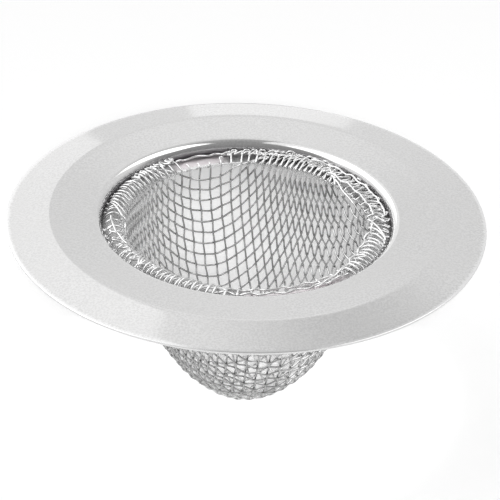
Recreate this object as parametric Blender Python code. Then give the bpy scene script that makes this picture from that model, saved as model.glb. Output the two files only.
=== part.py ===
"""Drain hair catcher: a pressed steel rim that holds a woven wire basket.

Metres, +Z up. The origin is on the axis, level with the underside of the rim's
outer edge, which is the line that rests on the sink round the drain mouth.
"""

import math
from bisect import bisect_right

import bmesh
import bpy
from mathutils import Vector

MM = 0.001

# Rim, pressed from one sheet. Widths are counted outwards from the collar.
SHEET_THICKNESS = 0.5 * MM
COLLAR_RADIUS = 27.3 * MM
LEDGE_WIDTH = 3.9 * MM
INNER_BAND_WIDTH = 9.7 * MM
OUTER_BAND_WIDTH = 8.0 * MM
CREASE_HEIGHT = 2.0 * MM
LIP_DROP = 0.7 * MM
COLLAR_DEPTH = 2.6 * MM

# Radii on the inside of each bend of the sheet
CREASE_BEND = 4.0 * MM
LIP_BEND = 1.2 * MM
LEDGE_BEND = 0.4 * MM

# Basket, a bowl pressed from square-woven wire cloth
WIRE_DIAMETER = 0.3 * MM
WEAVE_CLEARANCE = 0.1 * MM
SEAT_CLEARANCE = 0.3 * MM
BASKET_DEPTH = 37.8 * MM
TIP_CHAMFER = 0.6 * MM
TIP_RISE = 0.5 * MM

# The bowl's side view is (radius share) ^ TIP_POWER + (depth share) ^ MOUTH_POWER = 1
TIP_POWER = 1.7
MOUTH_POWER = 1.8

# Cloth: two wires cross on the axis, and each has this many neighbours on either side.
# The outermost crosses the middle wire this share of a mesh short of the mouth.
WIRES_FROM_AXIS = 13
MOUTH_MESH_SHARE = 0.5
CLOTH_TURN = math.radians(22.0)
WIRE_SIDES = 4

# Fineness of the turned rim and of the bowl's side view
RIM_STEPS = 72
PROFILE_STEPS = 240
CREASE_STEPS = 2
LIP_STEPS = 3
LEDGE_STEPS = 2
SOLVER_STEPS = 12

# Derived sizes
HOLE_RADIUS = COLLAR_RADIUS - LEDGE_WIDTH
CREASE_RADIUS = COLLAR_RADIUS + INNER_BAND_WIDTH
RIM_RADIUS = CREASE_RADIUS + OUTER_BAND_WIDTH
LEDGE_HEIGHT = CREASE_HEIGHT - LIP_DROP - COLLAR_DEPTH

# A four-sided tube has the round wire's area when its corners lie this far out
WIRE_CORNER = WIRE_DIAMETER / 2 * math.sqrt(math.tau / (WIRE_SIDES * math.sin(math.tau / WIRE_SIDES)))
LAYER_OFFSET = WIRE_CORNER + WEAVE_CLEARANCE / 2
CLOTH_STANDOFF = SEAT_CLEARANCE + WIRE_CORNER + LAYER_OFFSET
MOUTH_RADIUS = HOLE_RADIUS - CLOTH_STANDOFF

# An octagon's half side as a share of its inner radius
OCTAGON_SHARE = math.tan(math.pi / 8)


def clear_scene():
    """Remove every object that the file opened with."""
    for item in list(bpy.data.objects):
        bpy.data.objects.remove(item, do_unlink=True)


def steel(name, grey, roughness):
    """Make one stainless steel finish."""
    material = bpy.data.materials.new(name)
    material.use_nodes = True
    shader = material.node_tree.nodes["Principled BSDF"]
    shader.inputs["Base Color"].default_value = (grey, grey, grey, 1.0)
    shader.inputs["Metallic"].default_value = 1.0
    shader.inputs["Roughness"].default_value = roughness
    material.diffuse_color = (grey, grey, grey, 1.0)
    return material


def bend(corner, before, after, radius, steps):
    """Round one corner of a path: points on the arc, each with its right-hand normal."""
    into = (corner - before).normalized()
    out = (after - corner).normalized()
    turn = into.angle_signed(out)
    side = 1.0 if turn > 0 else -1.0
    start_normal = Vector((into.y, -into.x))
    reach = radius * math.tan(abs(turn) / 2)
    centre = corner - into * reach + start_normal * (side * radius)
    arc = []
    for step in range(steps + 1):
        angle = -turn * step / steps
        normal = Vector((
            start_normal.x * math.cos(angle) - start_normal.y * math.sin(angle),
            start_normal.x * math.sin(angle) + start_normal.y * math.cos(angle),
        ))
        arc.append((centre - normal * (side * radius), normal))
    return arc


def rim_underside():
    """List the points of the sheet's lower face from the outer edge in, with their normals."""
    collar_back = COLLAR_RADIUS + SHEET_THICKNESS
    crease_top = CREASE_HEIGHT - SHEET_THICKNESS
    lip_top = crease_top - LIP_DROP
    ledge_back = LEDGE_HEIGHT - SHEET_THICKNESS
    outer_edge = Vector((RIM_RADIUS, 0.0))
    crease = Vector((CREASE_RADIUS, crease_top))
    lip = Vector((collar_back, lip_top))
    corner = Vector((collar_back, ledge_back))
    hole_edge = Vector((HOLE_RADIUS, ledge_back))
    first = (crease - outer_edge).normalized()
    last = (hole_edge - corner).normalized()
    path = [(outer_edge, Vector((first.y, -first.x)))]
    path += bend(crease, outer_edge, lip, CREASE_BEND, CREASE_STEPS)
    path += bend(lip, crease, corner, LIP_BEND, LIP_STEPS)
    path += bend(corner, lip, hole_edge, LEDGE_BEND + SHEET_THICKNESS, LEDGE_STEPS)
    path.append((hole_edge, Vector((last.y, -last.x))))
    return path


def make_rim():
    """Turn the folded sheet's section once round the axis."""
    path = rim_underside()
    lower = [point for point, normal in path]
    upper = [point + normal * SHEET_THICKNESS for point, normal in path]
    section = lower + upper[::-1]
    shape = bmesh.new()
    corners = [shape.verts.new((point.x, 0.0, point.y)) for point in section]
    edges = [shape.edges.new((corners[i - 1], corners[i])) for i in range(len(corners))]
    bmesh.ops.spin(
        shape,
        geom=corners + edges,
        cent=(0.0, 0.0, 0.0),
        axis=(0.0, 0.0, 1.0),
        angle=math.tau,
        steps=RIM_STEPS,
        use_merge=True,
    )
    bmesh.ops.recalc_face_normals(shape, faces=shape.faces)
    mesh = bpy.data.meshes.new("rim_flange")
    shape.to_mesh(mesh)
    shape.free()
    mesh.shade_smooth()
    mesh.set_sharp_from_angle(angle=math.radians(35.0))
    rim = bpy.data.objects.new("rim_flange", mesh)
    rim.data.materials.append(steel("rim_flange_steel", 0.78, 0.32))
    bpy.context.collection.objects.link(rim)


def bowl_profile():
    """Walk up the bowl's side view from its tip: arc length, radius and height."""
    profile = [(0.0, 0.0, LEDGE_HEIGHT - BASKET_DEPTH)]
    for step in range(1, PROFILE_STEPS + 1):
        radius_share = math.sin(math.pi / 2 * step / PROFILE_STEPS)
        depth_share = (1.0 - radius_share ** TIP_POWER) ** (1.0 / MOUTH_POWER)
        radius = MOUTH_RADIUS * radius_share
        height = LEDGE_HEIGHT - BASKET_DEPTH * depth_share
        arc, last_radius, last_height = profile[-1]
        arc += math.hypot(radius - last_radius, height - last_height)
        profile.append((arc, radius, height))
    return profile


PROFILE = bowl_profile()
MOUTH_ARC = PROFILE[-1][0]
PITCH = MOUTH_ARC / (WIRES_FROM_AXIS + MOUTH_MESH_SHARE)


def bowl_slope(arc):
    """Find the side view's radius, height and direction at an arc length from the tip."""
    piece = bisect_right(PROFILE, (arc,))
    piece = max(1, min(piece, PROFILE_STEPS))
    arc_a, radius_a, height_a = PROFILE[piece - 1]
    arc_b, radius_b, height_b = PROFILE[piece]
    length = arc_b - arc_a
    across = (radius_b - radius_a) / length
    up = (height_b - height_a) / length
    return radius_a + across * (arc - arc_a), height_a + up * (arc - arc_a), across, up


def on_bowl(arc, turn):
    """Give the point of the bowl at an arc length from the tip, turned round the axis."""
    radius, height, _, _ = bowl_slope(arc)
    return Vector((radius * math.cos(turn), radius * math.sin(turn), height))


def inward(arc, turn):
    """Give the bowl's unit normal, which points into the basket."""
    _, _, across, up = bowl_slope(arc)
    return Vector((-up * math.cos(turn), -up * math.sin(turn), across)).normalized()


def next_crossing(first, second, shared):
    """Find the crossing one pitch from two others, which share a neighbour."""
    first_point = on_bowl(*first)
    second_point = on_bowl(*second)
    guess = first_point + second_point - on_bowl(*shared)
    turn = math.atan2(guess.y, guess.x)
    arc = math.sqrt(first[0] ** 2 + second[0] ** 2 - shared[0] ** 2)
    for _ in range(SOLVER_STEPS):
        radius, _, across, up = bowl_slope(arc)
        here = on_bowl(arc, turn)
        climb = Vector((across * math.cos(turn), across * math.sin(turn), up))
        round_axis = Vector((-radius * math.sin(turn), radius * math.cos(turn), 0.0))
        to_first = here - first_point
        to_second = here - second_point
        miss_first = (PITCH ** 2 - to_first.length_squared) / 2
        miss_second = (PITCH ** 2 - to_second.length_squared) / 2
        a, b = to_first.dot(climb), to_first.dot(round_axis)
        c, d = to_second.dot(climb), to_second.dot(round_axis)
        scale = a * d - b * c
        arc += (miss_first * d - b * miss_second) / scale
        turn += (a * miss_second - c * miss_first) / scale
    return arc, turn


def quarter_net():
    """Drape square cloth over a quarter of the bowl, keeping every side one pitch long."""
    net = {(0, 0): (0.0, 0.0)}
    for step in range(1, WIRES_FROM_AXIS + 1):
        net[step, 0] = (step * PITCH, 0.0)
        net[0, step] = (step * PITCH, math.pi / 2)
    for i in range(1, WIRES_FROM_AXIS + 1):
        for j in range(1, WIRES_FROM_AXIS + 1):
            if (i - 1, j) not in net or (i, j - 1) not in net:
                continue
            arc, turn = next_crossing(net[i - 1, j], net[i, j - 1], net[i - 1, j - 1])
            if arc < MOUTH_ARC:
                net[i, j] = (arc, turn)
    return net


NET = quarter_net()


def crossing(i, j):
    """Look a crossing up in any quarter: arc length and turn, or None past the mouth."""
    found = NET.get((abs(i), abs(j)))
    if found is None:
        return None
    arc, turn = found
    x = math.cos(turn) * (-1 if i < 0 else 1)
    y = math.sin(turn) * (-1 if j < 0 else 1)
    return arc, math.atan2(y, x)


def wire_crossings(number, is_warp):
    """List one wire's crossings from end to end, each with its place along the wire."""
    found = []
    for step in range(-WIRES_FROM_AXIS, WIRES_FROM_AXIS + 1):
        place = crossing(number, step) if is_warp else crossing(step, number)
        if place is not None:
            found.append((step, place))
    return found


def over_or_under(number, step, arc, is_warp):
    """Say which side of the cloth a wire takes: 1 inside the basket, -1 outside.

    Wires pass over and under in turn. Within a pitch of the mouth every warp wire
    lies inside every weft wire, because the ends lie over the ledge in two layers.
    """
    warp_side = 1 if (number + step) % 2 == 0 or arc > MOUTH_ARC - PITCH else -1
    return warp_side if is_warp else -warp_side


def mouth_turn(last, before):
    """Carry a wire straight on from its last two crossings to the mouth."""
    arc, turn = last
    arc_before, turn_before = before
    change = math.remainder(turn - turn_before, math.tau)
    return turn + change * (MOUTH_ARC - arc) / (arc - arc_before)


def wire_end(turn, is_warp):
    """Lead a wire's end over the ledge to the collar, where its tip turns up."""
    layer = LAYER_OFFSET if is_warp else -LAYER_OFFSET
    standoff = CLOTH_STANDOFF + layer
    half_side = standoff * OCTAGON_SHARE
    tip_radius = COLLAR_RADIUS - standoff
    level = LEDGE_HEIGHT + standoff
    side_view = [
        (HOLE_RADIUS - standoff, LEDGE_HEIGHT + half_side),
        (HOLE_RADIUS - half_side, level),
        (tip_radius - TIP_CHAMFER, level),
        (tip_radius, level + TIP_CHAMFER),
        (tip_radius, level + TIP_CHAMFER + TIP_RISE),
    ]
    return [Vector((r * math.cos(turn), r * math.sin(turn), z)) for r, z in side_view]


def wire_route(number, is_warp):
    """List the points of one wire: an end, its crossings and the other end."""
    crossings = wire_crossings(number, is_warp)
    places = [place for _, place in crossings]
    route = []
    for step, (arc, turn) in crossings:
        side = over_or_under(number, step, arc, is_warp)
        route.append(on_bowl(arc, turn) + inward(arc, turn) * (side * LAYER_OFFSET))
    start = wire_end(mouth_turn(places[0], places[1]), is_warp)
    finish = wire_end(mouth_turn(places[-1], places[-2]), is_warp)
    return start[::-1] + route + finish


def make_wire(name, number, is_warp, cloth):
    """Sweep the wire's section along its route."""
    curve = bpy.data.curves.new(name, "CURVE")
    curve.dimensions = "3D"
    curve.bevel_depth = WIRE_CORNER
    curve.bevel_resolution = WIRE_SIDES // 2 - 2
    curve.use_fill_caps = True
    route = wire_route(number, is_warp)
    spline = curve.splines.new("POLY")
    spline.points.add(len(route) - 1)
    for point, place in zip(spline.points, route):
        point.co = (place.x, place.y, place.z, 1.0)
    curve.materials.append(steel(name + "_steel", 0.72, 0.22))
    wire = bpy.data.objects.new(name, curve)
    wire.parent = cloth
    bpy.context.collection.objects.link(wire)


def make_basket():
    """Weave the cloth, and turn it about the axis as a whole."""
    cloth = bpy.data.objects.new("cloth_direction", None)
    cloth.rotation_euler.z = CLOTH_TURN
    bpy.context.collection.objects.link(cloth)
    for number in range(-WIRES_FROM_AXIS, WIRES_FROM_AXIS + 1):
        place = number + WIRES_FROM_AXIS + 1
        make_wire(f"warp_wire_{place:02d}", number, True, cloth)
        make_wire(f"weft_wire_{place:02d}", number, False, cloth)


clear_scene()
make_rim()
make_basket()
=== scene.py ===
"""The looks of the drain hair catcher: its pressed steel rim and its woven wire basket.

Metres, +Z up. The axis of the rim is the Z axis.
"""

import math
import random
from bisect import bisect_right

import bpy
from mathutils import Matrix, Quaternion, Vector, noise


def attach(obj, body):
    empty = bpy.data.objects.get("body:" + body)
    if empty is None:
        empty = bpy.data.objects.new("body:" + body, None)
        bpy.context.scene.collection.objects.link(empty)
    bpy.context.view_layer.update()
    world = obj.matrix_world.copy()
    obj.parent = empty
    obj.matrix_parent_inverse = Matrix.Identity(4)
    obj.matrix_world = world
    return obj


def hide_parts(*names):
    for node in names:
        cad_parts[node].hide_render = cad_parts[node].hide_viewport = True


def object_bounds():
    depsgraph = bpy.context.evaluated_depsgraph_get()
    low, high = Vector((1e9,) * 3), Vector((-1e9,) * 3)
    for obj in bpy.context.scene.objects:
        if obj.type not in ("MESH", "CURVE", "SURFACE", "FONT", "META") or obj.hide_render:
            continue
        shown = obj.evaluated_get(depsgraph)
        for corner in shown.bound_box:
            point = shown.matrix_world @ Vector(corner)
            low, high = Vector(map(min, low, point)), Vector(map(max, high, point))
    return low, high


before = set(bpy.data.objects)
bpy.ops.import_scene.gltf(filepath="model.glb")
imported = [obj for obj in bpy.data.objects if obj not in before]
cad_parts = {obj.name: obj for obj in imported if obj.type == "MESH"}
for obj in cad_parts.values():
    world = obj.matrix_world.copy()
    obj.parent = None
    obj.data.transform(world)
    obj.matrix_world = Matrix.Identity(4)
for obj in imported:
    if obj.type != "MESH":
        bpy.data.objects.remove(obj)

CAD_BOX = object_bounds()
MM = 0.001

# Rim, pressed from one sheet. Widths are counted outwards from the collar.
SHEET_THICKNESS = 0.5 * MM
COLLAR_RADIUS = 27.3 * MM
LEDGE_WIDTH = 3.9 * MM
INNER_BAND_WIDTH = 9.7 * MM
OUTER_BAND_WIDTH = 8.0 * MM
CREASE_HEIGHT = 1.99 * MM
LIP_DROP = 0.7 * MM
COLLAR_DEPTH = 2.6 * MM
CREASE_BEND = 4.0 * MM
LIP_BEND = 1.2 * MM
LEDGE_BEND = 0.4 * MM
CUT_EDGE_ROUND = 0.11 * MM

# Places that follow from the rim's sizes
HOLE_RADIUS = COLLAR_RADIUS - LEDGE_WIDTH
CREASE_RADIUS = COLLAR_RADIUS + INNER_BAND_WIDTH
RIM_RADIUS = CREASE_RADIUS + OUTER_BAND_WIDTH
LEDGE_HEIGHT = CREASE_HEIGHT - LIP_DROP - COLLAR_DEPTH

# Fineness of the turned rim
RIM_STEPS = 288
BEND_STEPS = 8
BAND_STEP = 1.2 * MM

# Basket, a bowl pressed from square-woven wire cloth, and the directions, in degrees, in
# which its straight wires run out from the tip
WIRE_DIAMETER = 0.39 * MM
WEAVE_GAP = 0.02 * MM
WIRE_SIDES = 8
WIRE_POINTS_BETWEEN = 4
WIRES_FROM_AXIS = 21
MOUTH_MESH_SHARE = 0.24
CROSSINGS_LEAST = 4
CLOTH_DIRECTIONS = (26.0, 109.0, 200.0, 278.0)
CLOTH_STANDOFF = 0.36 * MM
BASKET_DEPTH = 37.8 * MM
BASKET_LEAN = 0.58 * MM
TIP_POWER = 1.7
MOUTH_POWER = 1.8
MOUTH_RADIUS = HOLE_RADIUS - CLOTH_STANDOFF
PROFILE_STEPS = 400
SOLVER_STEPS = 14

# How far the pressed cloth strays from even meshes, and over what length
STRAY = 0.16 * MM
STRAY_LENGTH = 6.0 * MM
STRAY_SEED = 7

# The cloth's brim lies over the ledge and turns up the collar wall
COLLAR_CORNER = 0.5 * MM
COLLAR_CLIMB = 3.0 * MM
BRIM_STEP = 0.45 * MM
BRIM_STEPS_MOST = 22

# How far each wire trembles, and over what length, and the seed of the dice for its ends
WIRE_TREMBLE = 0.035 * MM
TREMBLE_LENGTH = 1.6 * MM
DICE_SEED = 41

# Wires that cross the brim at a slant straighten there; those past the kept angle don't. The
# last value is the least share of a step that a wire gains outwards.
SLANT_KEPT = math.radians(55.0)
SLANT_SHARE = 0.4
CLIMB_LEAST = 0.12

# Round the brim, by direction in degrees: how high the wires arch over the ledge, how far
# they climb the collar wall, how far their hooked tips reach sideways, anticlockwise being
# positive, and how far the hooks run back, in millimetres
BRIM_PLACES = [
    (0, 0.9, -0.3, 1.0, 2.0),
    (20, 0.8, -0.2, 1.1, 2.6),
    (38, 0.7, -0.1, 1.1, 2.6),
    (42, 0.7, 0.0, -1.0, 1.2),
    (60, 0.6, 0.1, -1.3, 1.2),
    (90, 0.5, 0.2, -1.4, 0.9),
    (101, 0.3, 0.1, -1.3, 0.6),
    (105, 0.04, -3.0, 0.0, 0.0),
    (121, 0.1, -2.6, 0.0, 0.0),
    (127, 0.8, 0.1, 1.0, 1.0),
    (145, 1.4, 0.1, 0.2, 0.0),
    (185, 1.6, 0.0, 0.0, 0.0),
    (188, 1.5, 0.0, 1.0, 2.0),
    (215, 1.5, 0.2, 0.9, 2.0),
    (225, 1.5, 0.2, 0.0, 0.0),
    (264, 1.1, 0.2, 0.0, 0.0),
    (274, 0.2, -2.8, 0.0, 0.0),
    (314, 0.2, -2.8, 0.0, 0.0),
    (322, 1.0, 0.0, 0.0, 0.0),
    (350, 0.9, -0.2, 0.0, 0.0),
    (356, 0.9, -0.3, 1.0, 1.6),
    (360, 0.9, -0.3, 1.0, 2.0),
]

# Shares between which single wire ends stray from those places, and how far they sway
ARCH_SPREAD = (0.75, 1.15)
CLIMB_SPREAD = (0.55, 1.2)
HOOK_WIDTH_SPREAD = (0.3, 1.25)
HOOK_LENGTH_SPREAD = (0.3, 1.2)
SWAY = 0.12 * MM

# Where the wires lean sideways on the ledge: two stretches, by directions in degrees, and
# how far, clockwise
LEANING = ((48.0, 60.0, 96.0, 104.0), (216.0, 228.0, 262.0, 270.0))
LEAN = 1.3 * MM

# Hooked tips: points round the hook, the narrowest hook made, and how far its end rises
HOOK_STEPS = 5
HOOK_LEAST = 0.3 * MM
HOOK_RISE = 0.3 * MM

# Cross wires that lie on the brim: directions of both ends in degrees, radii at the start,
# middle and end, and height above the ledge, in millimetres
CROSS_WIRES = [
    (300, 368, 25.6, 23.1, 24.2, 0.7),
    (6, 62, 26.3, 26.5, 26.3, 1.2),
    (8, 50, 24.3, 24.0, 24.3, 1.0),
    (258, 330, 24.2, 23.7, 24.2, 0.5),
    (256, 318, 25.4, 25.2, 25.2, 0.6),
    (98, 123, 26.3, 26.6, 26.3, 0.15),
    (184, 207, 25.5, 25.2, 24.6, 1.9),
]

# Distance between their points, and how far they swing, wander sideways and rise unevenly
CROSS_STEP = 1.1 * MM
CROSS_SWING = 0.14 * MM
CROSS_WANDER = 0.06 * MM
CROSS_UNEVEN = 0.04 * MM

# Curled wires along the brim: directions of both ends in degrees, then radii between which
# they curl, height above the ledge, length of a curl and how far its top leans clockwise,
# in millimetres
CURLED_WIRES = [
    (57, 100, 25.1, 26.9, 0.7, 1.2, 0.5),
    (2, 57, 23.9, 26.6, 0.8, 1.9, 0.4),
    (125, 146, 24.6, 26.8, 1.2, 1.2, -0.3),
    (192, 222, 24.4, 26.3, 1.3, 2.4, 0.3),
]
CURL_POINTS = 8

# Shares between which single curls stray from those lengths, reaches and heights
CURL_LENGTH_SPREAD = (0.6, 1.4)
CURL_OUT_SPREAD = (0.6, 1.1)
CURL_IN_SPREAD = (0.5, 1.1)
CURL_HEIGHT_SPREAD = (0.8, 1.2)

# Two stretches, by directions in degrees, in which the ledge shows bare between few wires; elsewhere it
# carries painted shade
BARE_LEDGE = ((98.0, 104.0, 121.0, 127.0), (266.0, 274.0, 314.0, 322.0))

# Sheet steel: greys of its specks and smudges, its share of brightness across the rolling,
# painted shade on its collar wall, and its ledge: bare, with painted shade among the packed
# wires, or with a painted shadow at the collar's foot
SPECK_GREYS = (0.74, 0.9)
SPECK_SPAN = (0.35, 0.65)
SMUDGE_COLOUR = (0.824, 0.82, 0.816, 1.0)
CROSS_ROLLED_SHARE = 0.95
SHADED_WALL_COLOUR = (0.2, 0.185, 0.205, 1.0)
BARE_LEDGE_COLOUR = (0.97, 0.92, 0.94, 1.0)
PAINTED_SHADE_LEDGE_GREY = 0.64
FOOT_SHADOW_GREY = 0.12
CUT_EDGE_GREY = 0.93
DULL_ROUGHNESS = 0.4
WAVE_SIZE = 14.0 * MM
WAVE_DEPTH = 0.02 * MM
SHEET_GRAIN_DEPTH = 0.0006 * MM

# Wire: greys from the dullest wire to the brightest, darker in the weave as painted shade and
# brighter loose on the ledge as painted light, then the greys of draw marks, of where wires bear
# on each other and of rubbed tips
SHADED_WOVEN_GREYS = (0.6, 0.78)
LIT_LOOSE_GREYS = (0.88, 0.98)
LOOSE_ROUGHNESS = 0.14
DRAW_MARK_GREY = 0.68
DRAW_MARK_SHARE = 0.4
BEARING_GREY = 0.2
BEARING_SHARE = 0.45
TIP_GREY = 0.85
WIRE_GRAIN_DEPTH = 0.003 * MM

# Draw marks are this many times longer than wide, and each wire reads its own, this far off
DRAW_MARK_STRETCH = 20.0
DRAW_MARKS_APART = 3.0

# Where light or shade is painted on the cloth: places along X, Y or Z between which the change
# comes in, and the grey there. The painted shade in front and the painted light on the right lie low on
# the basket.
LIT_LEFT_X = (-20.5 * MM, -16.0 * MM)
LIT_LEFT_GREY = 0.96
LOW_CLOTH_Z = (-22.0 * MM, -14.0 * MM)
SHADED_FRONT_Y = (-7.0 * MM, -2.0 * MM)
SHADED_FRONT_GREY = 0.58
LIT_RIGHT_X = (5.0 * MM, 11.0 * MM)
LIT_RIGHT_GREY = 0.88
LIT_TIP_Z = (-34.0 * MM, -31.0 * MM)
LIT_TIP_GREY = 1.0

# How much of the edge mask counts as rubbed
RUBBED_SPAN = (0.25, 0.85)

# Width of the painted shadow along the ledge at the collar's foot, where that shadow is lighter,
# and how far up the collar, and into its sheet, the steel is dull from drawing and carries painted shade
FOOT_SHADOW_WIDTH = 1.2 * MM
LIGHTER_FOOT_SHADOW = ((60.0, 70.0, 98.0, 104.0),)
LIGHTER_FOOT_SHADOW_SHARE = 0.35
DULL_SHADED_WALL_SHARE = 0.8
DULL_SHADED_SHEET_SHARE = 1.2

# Camera, as the photograph was taken; pixels are in its 500 by 500 frame, and it sees from
# the near distance to the far one
FRAME_PIXELS = 500
FOCAL_PIXELS = 2391.9
RIM_CENTRE_PIXEL = (246.68, 218.47)
SENSOR_WIDTH_MM = 36.0
CAMERA_DISTANCE = 450.0 * MM
CAMERA_ELEVATION = math.radians(31.2)
CAMERA_ROLL = math.radians(1.86)
CAMERA_NEAR = 45.0 * MM
CAMERA_FAR = 32.0
RIM_CENTRE = Vector((0.0, 0.0, 0.25 * MM))

# Floor. Its paint is whitest under the basket, within the first of two distances
# from the axis, where the basket shades it.
FLOOR_SIZE = 8.0
FLOOR_CLEARANCE = 0.05 * MM
FLOOR_WHITE = 0.86
FLOOR_WHITE_SEEN = 1.18
FLOOR_WHITE_UNDER = 1.55
FLOOR_UNDER = (28.0 * MM, 46.0 * MM)
FLOOR_SHARE_MIRRORED = 0.12

# Lamp, square and in front; its brightness, size and distance, and where it hangs, in degrees
# clockwise from behind the object and up from level
LAMP_BRIGHTNESS = 121.0
LAMP_SIZE = 0.45
LAMP_DISTANCE = 3.0
LAMP_TURN = math.radians(179.0)
LAMP_RISE = math.radians(32.0)

# Share of the surroundings' brightness that lights dull surfaces; the lamp gives the rest
DULL_SHARE = 0.43

# Brightness of what the steel mirrors
LOW_WALL_LEVEL = 0.82
HIGH_WALL_LEVEL = 0.74
CEILING_LEVEL = 0.42
CAMERA_SIDE_LEVEL = 0.32
SLOPE_LEVELS = (0.12, -0.1)
DIM_RIGHT_LEVEL = 0.005
SHELF_LEVEL = 0.06
LOW_RIGHT_SHARE = 0.9
LEFT_CARD_LEVEL = 1.015
LOW_CARD_LEVEL = 0.985
WINDOW_LEVEL = 2.2

# Where each of them fades in or out, as the first and last share of a unit direction:
# across to the right, up, away from the camera, or sideways to the window's own side
FAR_SIDE_AWAY = (-0.3, 0.2)
HIGH_WALL_UP = (0.6, 0.8)
CEILING_UP = (0.86, 0.94)
SLOPE_ACROSS = (-0.1, 0.16)
DIM_RIGHT_ACROSS = (0.08, 0.25)
SHELF_FOOT_UP = (0.54, 0.6)
SHELF_TOP_UP = (0.66, 0.72)
SHELF_END_ACROSS = (0.06, 0.12)
LOW_RIGHT_ACROSS = (0.35, 0.5)
LOW_RIGHT_UP = (0.2, 0.5)
LOW_CARD_LEFT_ACROSS = (-0.062, -0.054)
LOW_CARD_RIGHT_ACROSS = (0.095, 0.105)
LOW_CARD_TOP_UP = (0.166, 0.176)
LEFT_CARD_SLANT = 0.0756
LEFT_CARD_EDGE = (-0.186, -0.178)
LEFT_CARD_AWAY = (-0.5, -0.2)
WINDOW_LEANS_BEFORE = 0.6
WINDOW_REACH = (0.36, 0.44)
WINDOW_INNER_SIDEWAYS = (0.26, 0.36)
WINDOW_OUTER_SIDEWAYS = (0.82, 0.9)
WINDOW_AWAY = (-0.4, -0.2)
LEFT_WINDOW_SILL_UP = (0.1, 0.5)
RIGHT_WINDOW_SILL_UP = (0.62, 0.74)
WHITE = (1.0, 1.0, 1.0, 1.0)
BLACK = (0.0, 0.0, 0.0, 1.0)


def add(tree, kind, **settings):
    """Add a node and set its properties."""
    made = tree.nodes.new(kind)
    for name, value in settings.items():
        setattr(made, name, value)
    return made


def feed(tree, socket, source):
    """Link a source into a socket, or set the socket to a plain value."""
    if isinstance(source, bpy.types.NodeSocket):
        tree.links.new(source, socket)
    else:
        socket.default_value = source


def feed_named(tree, made, **sources):
    """Feed a node's inputs by name; spaces in input names are written as underscores."""
    for name, source in sources.items():
        feed(tree, made.inputs[name.replace("_", " ")], source)
    return made


def feed_in_order(tree, made, *sources):
    """Feed a node's first inputs, in their order."""
    for socket, source in zip(made.inputs, sources):
        feed(tree, socket, source)
    return made


def maths(tree, operation, *sources):
    """Add a maths node and return its result."""
    made = add(tree, "ShaderNodeMath", operation=operation)
    return feed_in_order(tree, made, *sources).outputs[0]


def product(tree, first, *others):
    """Multiply values, one after another."""
    for other in others:
        first = maths(tree, "MULTIPLY", first, other)
    return first


def vector_maths(tree, operation, first, second):
    """Add a vector maths node and return its result."""
    made = add(tree, "ShaderNodeVectorMath", operation=operation)
    feed(tree, made.inputs[0], first)
    feed(tree, made.inputs[3 if operation == "SCALE" else 1], second)
    return made.outputs["Value" if operation == "DOT_PRODUCT" else "Vector"]


def ramp(tree, value, low, high, low_result, high_result):
    """Change smoothly from one result to another as a value goes from low to high."""
    made = add(tree, "ShaderNodeMapRange", interpolation_type="SMOOTHSTEP")
    feed_in_order(tree, made, value, low, high, low_result, high_result)
    return made.outputs["Result"]


def in_parts(tree, place):
    """Split a place or a direction into its X, Y and Z."""
    return feed_in_order(tree, add(tree, "ShaderNodeSeparateXYZ"), place).outputs


def rises(tree, value, span):
    """Go smoothly from 0 to 1 as a value crosses a span."""
    return ramp(tree, value, *span, 0.0, 1.0)


def falls(tree, value, span):
    """Go smoothly from 1 to 0 as a value crosses a span."""
    return ramp(tree, value, *span, 1.0, 0.0)


def mix_colour(tree, share, first, second):
    """Mix two colours by a share."""
    made = add(tree, "ShaderNodeMix", data_type="RGBA")
    feed(tree, made.inputs[0], share)
    feed(tree, made.inputs[6], first)
    feed(tree, made.inputs[7], second)
    return made.outputs[2]


def mix_value(tree, share, first, second):
    """Mix two values by a share."""
    made = add(tree, "ShaderNodeMix", data_type="FLOAT")
    feed(tree, made.inputs[0], share)
    feed(tree, made.inputs[2], first)
    feed(tree, made.inputs[3], second)
    return made.outputs[0]


def new_group(name, inputs, outputs, kind="ShaderNodeTree"):
    """Start a node group: its tree, its given values and its output node."""
    tree = bpy.data.node_groups.new(name, kind)
    for title, socket_kind, value in inputs:
        socket = tree.interface.new_socket(title, in_out="INPUT", socket_type="NodeSocket" + socket_kind)
        if value is not None:
            socket.default_value = value
    for title, socket_kind in outputs:
        tree.interface.new_socket(title, in_out="OUTPUT", socket_type="NodeSocket" + socket_kind)
    return tree, add(tree, "NodeGroupInput").outputs, add(tree, "NodeGroupOutput")


def place_group(tree, group, **values):
    """Put a shader group into a material."""
    return feed_named(tree, add(tree, "ShaderNodeGroup", node_tree=group), **values)


def noise_value(tree, place, size, detail):
    """Add noise whose grains have the given size, and return its value."""
    finer = vector_maths(tree, "SCALE", place, maths(tree, "DIVIDE", 1.0, size))
    made = add(tree, "ShaderNodeTexNoise")
    return feed_named(tree, made, Vector=finer, Scale=1.0, Detail=detail).outputs["Fac"]


def steel_grain_group():
    """Fine grain of rolled or drawn steel, with faint broader smudges."""
    inputs = [
        ("Place", "Vector", None),
        ("Grain Size", "Float", 0.15 * MM),
        ("Smudge Size", "Float", 7.0 * MM),
        ("Roughness", "Float", 0.1),
        ("Roughness Spread", "Float", 0.02),
    ]
    outputs = [("Grain", "Float"), ("Smudge", "Float"), ("Roughness", "Float")]
    tree, given, result = new_group("steel grain", inputs, outputs)
    grain = noise_value(tree, given["Place"], given["Grain Size"], 3.0)
    smudge = noise_value(tree, given["Place"], given["Smudge Size"], 2.0)
    spread = product(tree, maths(tree, "SUBTRACT", smudge, 0.5), 2.0)
    fine = maths(tree, "ADD", spread, maths(tree, "SUBTRACT", grain, 0.5))
    change = product(tree, fine, given["Roughness Spread"])
    rough = maths(tree, "ADD", given["Roughness"], change)
    feed_named(tree, result, Grain=grain, Smudge=smudge, Roughness=rough)
    return tree


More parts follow.
